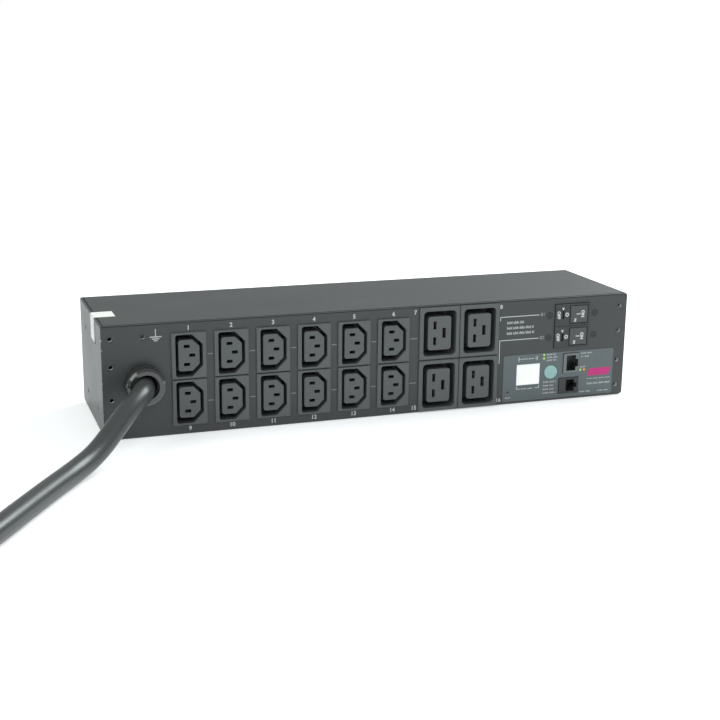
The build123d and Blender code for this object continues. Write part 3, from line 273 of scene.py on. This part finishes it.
looks = {
    "powderCoat": {
        "color": (0.043, 0.0475, 0.0475), "roughness": 0.42,
        "grainScale": 1500, "bump": 0.22, "spread": 0.10,
    },
    "outletPlastic": {
        "color": (0.092, 0.100, 0.103), "roughness": 0.44,
        "grainScale": 2600, "bump": 0.10, "spread": 0.08,
    },
    "blackPlastic": {
        "color": (0.030, 0.032, 0.033), "roughness": 0.45,
        "grainScale": 2400, "bump": 0.10,
    },
    "rockerPlastic": {
        "color": (0.060, 0.064, 0.066), "roughness": 0.40,
        "grainScale": 2400, "bump": 0.08,
    },
    "blackenedSteel": {
        "color": (0.035, 0.036, 0.037), "roughness": 0.28,
        "metal": 0.6, "grainScale": 900,
    },
    "zincSteel": {
        "color": (0.62, 0.62, 0.60), "roughness": 0.30,
        "metal": 1.0, "grainScale": 900, "bump": 0.08,
    },
    "stampedBrass": {"color": (0.70, 0.50, 0.22), "roughness": 0.30, "metal": 1.0, "grainScale": 700},
    "barCopper": {"color": (0.75, 0.38, 0.22), "roughness": 0.32, "metal": 1.0, "grainScale": 500},
    "nutZinc": {"color": (0.86, 0.86, 0.84), "roughness": 0.40, "grainScale": 900, "bump": 0.08},
    "overlayFilm": {
        "color": (0.106, 0.129, 0.136), "roughness": 0.38,
        "grainScale": 3000, "bump": 0.05, "spread": 0.06,
    },
    "boardGreen": {"color": (0.02, 0.13, 0.06), "roughness": 0.35, "grainScale": 500},
    # painted glow: the display face is no lamp, and its glow lifts the face to white
    "displayFacePaintedGlow": {
        "color": (0.86, 0.88, 0.86), "roughness": 0.30, "grainScale": 900, "bump": 0.03, "spread": 0.03,
        "glow": (0.97, 1.0, 0.96), "glowStrength": 0.22,
    },
    "tealButton": {
        "color": (0.31, 0.53, 0.51), "roughness": 0.35,
        "grainScale": 1800, "bump": 0.03, "spread": 0.04,
    },
    "palePlastic": {
        "color": (0.68, 0.68, 0.66), "roughness": 0.4,
        "grainScale": 1800, "bump": 0.04, "spread": 0.04,
    },
    "greenLens": {
        "color": (0.35, 0.60, 0.12), "roughness": 0.2,
        "grainScale": 900, "bump": 0.0, "glow": (0.4, 0.8, 0.1),
    },
    "jackShell": {
        "color": (0.13, 0.14, 0.14), "roughness": 0.30,
        "metal": 0.9, "grainScale": 900, "bump": 0.06,
    },
    "glossNylon": {
        "color": (0.020, 0.021, 0.022), "roughness": 0.16, "grainScale": 1200, "bump": 0.03,
        "coat": 0.8, "coatRoughness": 0.05,
    },
    "softRubber": {"color": (0.025, 0.025, 0.026), "roughness": 0.6, "grainScale": 1600, "bump": 0.15},
    "sealPaper": {
        "color": (0.80, 0.80, 0.78), "roughness": 0.55,
        "grainScale": 900, "bump": 0.10, "spread": 0.03,
    },
    "cordJacket": {"color": (0.048, 0.053, 0.053), "roughness": 0.34, "grainScale": 1300, "bump": 0.12},
    "plugNylon": {"color": (0.035, 0.036, 0.037), "roughness": 0.45, "grainScale": 1500, "bump": 0.14},
    "plugBlue": {
        "color": (0.022, 0.10, 0.42), "roughness": 0.38,
        "grainScale": 1500, "bump": 0.12, "spread": 0.06,
    },
    "wireBrown": {"color": (0.18, 0.07, 0.035), "roughness": 0.4, "grainScale": 900},
    "wireBlue": {"color": (0.03, 0.11, 0.42), "roughness": 0.4, "grainScale": 900},
    "wireGreen": {"color": (0.05, 0.28, 0.07), "roughness": 0.4, "grainScale": 900},
    "strapWeave": {
        "color": (0.025, 0.026, 0.027), "roughness": 0.7,
        "grainScale": 900, "bump": 0.4, "stretch": (1, 0.2, 1),
    },
    "whitePrint": {
        "color": (0.62, 0.66, 0.65), "roughness": 0.5,
        "grainScale": 2500, "bump": 0.03, "spread": 0.05,
    },
    "grayPrint": {
        "color": (0.28, 0.30, 0.30), "roughness": 0.5,
        "grainScale": 2500, "bump": 0.03, "spread": 0.05,
    },
    "magentaPrint": {
        "color": (0.56, 0.018, 0.19), "roughness": 0.45,
        "grainScale": 2500, "bump": 0.03, "spread": 0.06,
    },
}
shelf = {name: finish(name, look) for name, look in looks.items()}


def ownPlace(tree, axis):
    # one coordinate of a point on the object, in metres
    place = tree.nodes.new("ShaderNodeTexCoord")
    split = tree.nodes.new("ShaderNodeSeparateXYZ")
    tree.links.new(place.outputs["Object"], split.inputs["Vector"])
    return split.outputs[axis]


def maths(tree, operation, first, second=0.0):
    step = tree.nodes.new("ShaderNodeMath")
    step.operation = operation
    for socket, value in zip(step.inputs, (first, second)):
        if isinstance(value, float):
            socket.default_value = value
        else:
            tree.links.new(value, socket)
    return step.outputs["Value"]


def layOver(tree, shader, mask, color):
    # another colour over the finish where the mask is 1
    under = shader.inputs["Base Color"].links[0].from_socket
    over = tree.nodes.new("ShaderNodeMix")
    over.data_type = "RGBA"
    over.inputs["B"].default_value = list(color) + [1]
    tree.links.new(mask, over.inputs["Factor"])
    tree.links.new(under, over.inputs["A"])
    tree.links.new(over.outputs["Result"], shader.inputs["Base Color"])
    return over.outputs["Result"]


# where a finish changes over one piece, in metres
changes = {
    "nutSkin": 0.1 * mm,
    "sideNutDepth": 3.4 * mm,
    "orangeFrom": 179.9 * mm,
    "orange": (0.80, 0.30, 0.05),
    "chipReach": 0.7 * mm,
    "chipScale": 420.0,
    "chipShare": 0.67,
    "chipColor": (0.55, 0.55, 0.53),
    "sleeveReach": 9.0 * mm,
    "sleeveColor": (0.02, 0.02, 0.02),
    "boreMetal": 0.35,
}


def paintNuts():
    # paint covers the nuts' faces; the side nuts take the powder coat's colour through their bores as well,
    # which makes those holes dark; the front holes are bright inside
    tree = shelf["nutZinc"].node_tree
    shader = tree.nodes["Principled BSDF"]
    low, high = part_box("clinch_nuts")
    face = maths(tree, "LESS_THAN", ownPlace(tree, "Y"), low[1] + changes["nutSkin"])
    across = maths(tree, "ABSOLUTE", ownPlace(tree, "X"))
    # the side nuts, bores and all, take the powder coat's colour, which darkens those holes
    side = maths(tree, "GREATER_THAN", across, high[0] - changes["sideNutDepth"])
    coatColoured = maths(tree, "MAXIMUM", face, side)
    layOver(tree, shader, coatColoured, looks["powderCoat"]["color"])
    bare = maths(tree, "SUBTRACT", 1.0, coatColoured)
    tree.links.new(maths(tree, "MULTIPLY", bare, changes["boreMetal"]), shader.inputs["Metallic"])


def sleeveEarthWire():
    # the black sleeve over the lug behind the earth hole
    tree = shelf["wireGreen"].node_tree
    shader = tree.nodes["Principled BSDF"]
    low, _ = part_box("chassis_tray")
    near = maths(tree, "LESS_THAN", ownPlace(tree, "Y"), low[1] + changes["sleeveReach"])
    layOver(tree, shader, near, changes["sleeveColor"])


def tintLenses():
    tree = shelf["greenLens"].node_tree
    shader = tree.nodes["Principled BSDF"]
    right = maths(tree, "GREATER_THAN", ownPlace(tree, "X"), changes["orangeFrom"])
    tint = layOver(tree, shader, right, changes["orange"])
    tree.links.new(tint, shader.inputs["Emission Color"])


def chipEdge():
    # bare specks along the front left upright edge, where the paint has come off
    tree = shelf["powderCoat"].node_tree
    shader = tree.nodes["Principled BSDF"]
    low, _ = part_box("chassis_tray")
    left = maths(tree, "LESS_THAN", ownPlace(tree, "X"), low[0] + changes["chipReach"])
    front = maths(tree, "LESS_THAN", ownPlace(tree, "Y"), low[1] + changes["chipReach"])
    corner = maths(tree, "MULTIPLY", left, front)
    place = tree.nodes.new("ShaderNodeTexCoord")
    specks = tree.nodes.new("ShaderNodeTexNoise")
    specks.inputs["Scale"].default_value = changes["chipScale"]
    tree.links.new(place.outputs["Object"], specks.inputs["Vector"])
    bare = maths(tree, "GREATER_THAN", specks.outputs["Fac"], changes["chipShare"])
    layOver(tree, shader, maths(tree, "MULTIPLY", corner, bare), changes["chipColor"])


paintNuts()
sleeveEarthWire()
tintLenses()
chipEdge()

slotLooks = {
    "black_paint": "powderCoat",
    "outlet_black": "outletPlastic",
    "black_plastic": "blackPlastic",
    "rocker_black": "rockerPlastic",
    "black_screw": "blackenedSteel",
    "zinc_steel": "zincSteel",
    "brass": "stampedBrass",
    "copper": "barCopper",
    "overlay_print": "overlayFilm",
    "board_green": "boardGreen",
    "display_white": "displayFacePaintedGlow",
    "button_teal": "tealButton",
    "button_white": "palePlastic",
    "led_green": "greenLens",
    "jack_metal": "jackShell",
    "gland_gloss": "glossNylon",
    "rubber": "softRubber",
    "paper_white": "sealPaper",
    "cord_black": "cordJacket",
    "tie_black": "strapWeave",
    "plug_black": "plugNylon",
    "plug_blue": "plugBlue",
    "terminal_white": "palePlastic",
    "wire_brown": "wireBrown",
    "wire_blue": "wireBlue",
    "wire_green": "wireGreen",
}
nodeSlots = {part["node"]: part["material_slot"] for part in frame["record"]["subparts"]}
for name, obj in nodes.items():
    give(obj, shelf[slotLooks[nodeSlots[name]]])
give(nodes["clinch_nuts"], shelf["nutZinc"])
give(cord, shelf["cordJacket"])
print("materials")


# print on the front

def inkShapes(name, shapes, y, material):
    # flat shapes in millimetres on a face that looks along -Y, each a list of x, z corners anticlockwise
    work = bmesh.new()
    for shape in shapes:
        corners = [work.verts.new((x * mm, y, z * mm)) for x, z in shape]
        work.faces.new(corners)
    work.normal_update()
    for face in work.faces:
        if face.normal.y > 0:
            face.normal_flip()
    data = bpy.data.meshes.new(name)
    work.to_mesh(data)
    work.free()
    obj = bpy.data.objects.new(name, data)
    bpy.context.scene.collection.objects.link(obj)
    give(obj, material)
    return obj


def bar(x0, z0, x1, z1):
    return [(x0, z0), (x1, z0), (x1, z1), (x0, z1)]


rowMarks = {"wide": 0.42, "step": 0.82, "space": 0.7, "wordLength": 6, "heights": (1.0, 0.7, 0.7, 1.0, 0.7)}


def fineRow(x0, x1, z, height):
    # small upright marks with wider gaps here and there, where the unit has words too small to read
    s = rowMarks
    marks = []
    x, i = x0, 0
    while x + s["wide"] <= x1:
        tall = height * s["heights"][i % len(s["heights"])]
        marks.append(bar(x, z - height / 2, x + s["wide"], z - height / 2 + tall))
        i += 1
        x += s["step"] + (s["space"] if i % s["wordLength"] == 0 else 0)
    return marks


def word(text, size, x, z, y, material, turned=False, weight=0.0):
    deselectAll()
    bpy.ops.object.text_add(location=(0, 0, 0))
    letters = bpy.context.object
    letters.data.body = text
    letters.data.size = size * mm
    letters.data.offset = weight * mm
    letters.data.align_x = "CENTER"
    letters.data.align_y = "CENTER"
    letters.data.resolution_u = 4
    pick(letters)
    bpy.ops.object.convert(target="MESH")
    letters = bpy.context.object
    letters.rotation_euler = (math.pi / 2, math.pi / 2 if turned else 0, 0)
    letters.location = (x * mm, y, z * mm)
    bakePlace(letters)
    give(letters, material)
    return letters


def middle(node):
    low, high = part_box(node)
    return [1000 * (a + b) / 2 for a, b in zip(low, high)]


inkLift = 0.04 * mm
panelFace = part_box("chassis_tray")[0][1] - inkLift
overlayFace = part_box("overlay_label")[0][1] - inkLift

panelInk = {
    "numberSize": 4.7,
    "numberWeight": 0.1,
    "upperZ": 83.1,
    "middleZ": 43.0,
    "lowerZ": 4.5,
    "smallNumbers": (1, 2, 3, 4, 5, 6, 9, 10, 11, 12, 13, 14),
    "largeNumbers": (7, 8, 15, 16),
    "besideLeft": -20.7,
    "besideRight": 19.2,
    "dashGap": 0.9,
    "dashThick": 0.55,
    "flangeHalf": 13.4,
    "bankLine": 0.6,
    "dashLong": 6.0,
    "dashShort": 4.2,
    "bankStart": 102.8,
    "bankEnd": 138.0,
    "banks": ((74.8, 71.4), (55.2, 35.6)),
    "bankNames": (("B1", 74.5), ("B2", 54.9)),
    "bankNameX": 141.2,
    "bankNameSize": 3.9,
    "bankNameWeight": 0.06,
    "earthSign": (
        (-178.75, 78.1, -178.15, 83.7),
        (-182.9, 77.4, -174.0, 78.1),
        (-181.2, 75.9, -175.7, 76.55),
        (-179.9, 74.5, -177.0, 75.1),
    ),
    "wordsStart": 109.2,
    "words": ((124.6, 69.6), (133.0, 65.1), (134.2, 60.7)),
    "wordsHeight": 2.3,
}
whiteInk, grayInk = shelf["whitePrint"], shelf["grayPrint"]


def numberBy(text, x, z):
    # a number above an upper outlet or below a lower one
    s = panelInk
    height = s["upperZ"] if z > s["middleZ"] else s["lowerZ"]
    return word(text, s["numberSize"], x, height, panelFace, whiteInk, weight=s["numberWeight"])


def printPanel():
    s = panelInk
    pieces = []
    for i, number in enumerate(s["smallNumbers"]):
        x, _, z = middle("c13_outlet_%02d" % (i + 1))
        pieces.append(numberBy(str(number), x, z))
    for i, number in enumerate(s["largeNumbers"]):
        x, _, z = middle("c19_outlet_%02d" % (i + 1))
        beside = s["besideLeft"] if i % 2 == 0 else s["besideRight"]
        pieces.append(numberBy(str(number), x + beside, z))
    shapes = []
    for i in range(12):
        x, _, z = middle("c13_outlet_%02d" % (i + 1))
        start = x + s["flangeHalf"] + s["dashGap"]
        length = s["dashLong"] if i % 6 == 5 else s["dashShort"]
        shapes.append(bar(start, z - s["dashThick"] / 2, start + length, z + s["dashThick"] / 2))
    pieces.append(inkShapes("panelDashes", shapes, panelFace, grayInk))
    # bank lines that lead from the large outlets to each breaker, then the earth sign and the words
    thick, start = s["bankLine"], s["bankStart"]
    shapes = []
    for top, foot in s["banks"]:
        shapes.append(bar(start, top - thick, s["bankEnd"], top))
        shapes.append(bar(start, foot, start + thick, top - thick))
    shapes += [bar(*stroke) for stroke in s["earthSign"]]
    for end, z in s["words"]:
        shapes += fineRow(s["wordsStart"], end, z, s["wordsHeight"])
    pieces.append(inkShapes("panelShapes", shapes, panelFace, whiteInk))
    for text, z in s["bankNames"]:
        size, weight = s["bankNameSize"], s["bankNameWeight"]
        pieces.append(word(text, size, s["bankNameX"], z, panelFace, grayInk, weight=weight))
    joined = joinAll(pieces, "panelPrint")
    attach(joined, "case")


overlayInk = {
    "rowHeight": 1.25,
    "rows": [
        (124.0, 135.0, 38.1),
        (146.6, 154.8, 40.3),
        (146.6, 156.0, 37.8),
        (146.6, 155.2, 35.4),
        (124.0, 135.0, 12.6),
        (144.0, 156.2, 16.8),
        (144.0, 153.4, 13.6),
        (144.0, 155.4, 10.5),
        (144.0, 156.4, 7.4),
        (109.6, 115.2, 5.9),
        (178.2, 188.4, 39.2),
        (178.2, 180.9, 36.4),
        (182.0, 186.4, 36.4),
        (178.0, 183.6, 27.4),
        (178.4, 188.6, 5.8),
        (195.3, 206.8, 5.5),
    ],
    "rules": [
        (120.6, 36.2, 121.2, 39.9),
        (121.2, 37.8, 123.2, 38.3),
        (135.6, 37.8, 137.2, 38.3),
        (137.2, 36.2, 137.8, 39.9),
        (119.4, 12.4, 120.0, 15.0),
        (120.0, 12.4, 123.0, 12.9),
        (136.0, 12.4, 139.6, 12.9),
        (139.6, 12.4, 140.2, 15.0),
    ],
    "field": (184.6, 19.2, 206.8, 25.4),
    "fieldSlant": 2.0,
    "underField": ((185.0, 206.6, 16.6, 0.9), (185.0, 206.6, 12.4, 1.7)),
}


def printOverlay():
    s = overlayInk
    shapes = []
    for x0, x1, z in s["rows"]:
        shapes += fineRow(x0, x1, z, s["rowHeight"])
    shapes += [bar(*rule) for rule in s["rules"]]
    for x0, x1, z, height in s["underField"]:
        shapes += fineRow(x0, x1, z, height)
    text = inkShapes("overlayPrint", shapes, overlayFace, whiteInk)
    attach(text, "case")
    x0, z0, x1, z1 = s["field"]
    lean = s["fieldSlant"]
    slanted = [(x0, z0), (x1 - lean, z0), (x1, z1), (x0 + lean, z1)]
    field = inkShapes("colorField", [slanted], overlayFace, shelf["magentaPrint"])
    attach(field, "case")


breakerInk = {
    "offX": 155.3,
    "arrowX": 159.3,
    "arrowHalf": 1.25,
    "arrowZ": (3.6, 6.0),
    "zeroX": 162.8,
    "oneX": 173.6,
    "onX": 177.4,
    "rateX": 170.6,
    "rateZ": -5.0,
    "offSize": 3.7,
    "offWeight": 0.2,
    "zeroSize": 4.1,
    "zeroWeight": 0.26,
    "onSize": 3.7,
    "onWeight": 0.22,
    "oneHalf": (1.8, 0.42),
    "rateBlocks": ((-0.9, -1.4, 0.9, -0.2), (-0.7, 0.2, 1.0, 1.4)),
    "raise": 0.2,
}


def printBreaker(number):
    s = breakerInk
    _, _, z = middle("breaker_%d_rocker" % number)
    z += s["raise"]
    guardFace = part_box("breaker_guards")[0][1] - inkLift
    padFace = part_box("breaker_%d_rocker" % number)[0][1] - inkLift
    x, half = s["arrowX"], s["arrowHalf"]
    low, high = s["arrowZ"]
    arrow = [(x, z + low), (x + half, z + high), (x - half, z + high)]
    fixed = joinAll([
        word("OFF", s["offSize"], s["offX"], z, guardFace, whiteInk, True, s["offWeight"]),
        word("O", s["zeroSize"], s["zeroX"], z, guardFace, whiteInk, True, s["zeroWeight"]),
        inkShapes("arrow", [arrow], guardFace, whiteInk),
    ], "guardPrint%d" % number)
    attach(fixed, "case")
    wide, tall = s["oneHalf"]
    one = bar(s["oneX"] - wide, z - tall, s["oneX"] + wide, z + tall)
    rating = [
        bar(s["rateX"] + x0, z + s["rateZ"] + z0, s["rateX"] + x1, z + s["rateZ"] + z1)
        for x0, z0, x1, z1 in s["rateBlocks"]
    ]
    moving = joinAll([
        word("ON", s["onSize"], s["onX"], z, padFace, whiteInk, True, s["onWeight"]),
        inkShapes("oneMark", [one], padFace, whiteInk),
        inkShapes("rateMark", rating, padFace, whiteInk),
    ], "rockerPrint%d" % number)
    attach(moving, "breaker_%d_rocker" % number)


printPanel()
printOverlay()
printBreaker(1)
printBreaker(2)
print("print")


# floor and light

room = {
    "floorColor": (0.80, 0.82, 0.84),
    "floorLift": 0.44,
    "farLift": 1.0,
    "liftFrom": 0.55,
    "liftTo": 1.6,
    "floorSize": 60.0,
    "floorSpread": 0.01,
    "floorCloud": 3.0,
    "floorRoughness": 0.95,
    "aim": (0, 0, 0.04),
    "worldLight": 0.47,
}


def seenStraight(tree):
    # 1 for camera, glossy and transmission rays, 0 for the light that falls on the object
    make, link = tree.nodes.new, tree.links.new
    path = make("ShaderNodeLightPath")
    first = make("ShaderNodeMath")
    first.operation = "MAXIMUM"
    link(path.outputs["Is Camera Ray"], first.inputs[0])
    link(path.outputs["Is Glossy Ray"], first.inputs[1])
    second = make("ShaderNodeMath")
    second.operation = "MAXIMUM"
    link(first.outputs["Value"], second.inputs[0])
    link(path.outputs["Is Transmission Ray"], second.inputs[1])
    return second.outputs["Value"]


def makeFloorMaterial():
    material, tree, shader = newMaterial("paleFloor")
    make, link = tree.nodes.new, tree.links.new
    place = make("ShaderNodeTexCoord")
    cloud = make("ShaderNodeTexNoise")
    cloud.inputs["Scale"].default_value = room["floorCloud"]
    link(place.outputs["Object"], cloud.inputs["Vector"])
    mixer = make("ShaderNodeMix")
    mixer.data_type = "RGBA"
    base, spread = room["floorColor"], room["floorSpread"]
    mixer.inputs["A"].default_value = [c * (1 - spread) for c in base] + [1]
    mixer.inputs["B"].default_value = [min(c * (1 + spread), 1) for c in base] + [1]
    link(cloud.outputs["Fac"], mixer.inputs["Factor"])
    link(mixer.outputs["Result"], shader.inputs["Base Color"])
    shader.inputs["Roughness"].default_value = room["floorRoughness"]
    # the floor is plain white to the eye away from the unit, and keeps the soft shadow near it
    away = make("ShaderNodeVectorMath")
    away.operation = "LENGTH"
    link(place.outputs["Object"], away.inputs[0])
    level = make("ShaderNodeMapRange")
    level.inputs["From Min"].default_value = room["liftFrom"]
    level.inputs["From Max"].default_value = room["liftTo"]
    level.inputs["To Min"].default_value = room["floorLift"]
    level.inputs["To Max"].default_value = room["farLift"]
    link(away.outputs["Value"], level.inputs["Value"])
    lift = make("ShaderNodeMath")
    lift.operation = "MULTIPLY"
    link(level.outputs["Result"], lift.inputs[1])
    link(seenStraight(tree), lift.inputs[0])
    shader.inputs["Emission Color"].default_value = (1, 1, 1, 1)
    link(lift.outputs["Value"], shader.inputs["Emission Strength"])
    return material


def makeFloor():
    deselectAll()
    bpy.ops.mesh.primitive_plane_add(size=room["floorSize"], location=(0, 0, 0))
    floor = bpy.context.object
    floor.name = "studioFloor"
    give(floor, makeFloorMaterial())


def makeWorld():
    world = bpy.data.worlds.new("softRoom")
    bpy.context.scene.world = world
    world.use_nodes = True
    tree = world.node_tree
    make, link = tree.nodes.new, tree.links.new
    backdrop = tree.nodes["Background"]
    backdrop.inputs["Color"].default_value = (1, 1, 1, 1)
    path = make("ShaderNodeLightPath")
    level = make("ShaderNodeMapRange")
    level.inputs["To Min"].default_value = room["worldLight"]
    level.inputs["To Max"].default_value = 1.0
    link(path.outputs["Is Camera Ray"], level.inputs["Value"])
    link(level.outputs["Result"], backdrop.inputs["Strength"])


lamps = {
    "leftBox": {"place": (-1.6, -0.5, 1.1), "size": 1.2, "power": 13, "color": (0.86, 1.0, 0.92)},
    "frontBox": {"place": (-0.2, -1.5, 1.2), "size": 1.0, "power": 7, "color": (1.0, 1.0, 1.0)},
    "topBox": {"place": (1.1, 0.5, 1.1), "size": 0.9, "power": 27, "color": (0.92, 1.0, 1.0)},
}


def makeLamps():
    for name, lamp in lamps.items():
        deselectAll()
        bpy.ops.object.light_add(type="AREA", location=lamp["place"])
        light = bpy.context.object
        light.name = name
        light.data.size = lamp["size"]
        light.data.energy = lamp["power"]
        light.data.color = lamp["color"]
        aim = Vector(room["aim"]) - light.location
        light.rotation_euler = aim.to_track_quat("-Z", "Y").to_euler()


makeFloor()
makeWorld()
makeLamps()
bpy.context.scene.view_settings.view_transform = "Standard"
print("light")

bpy.context.view_layer.update()
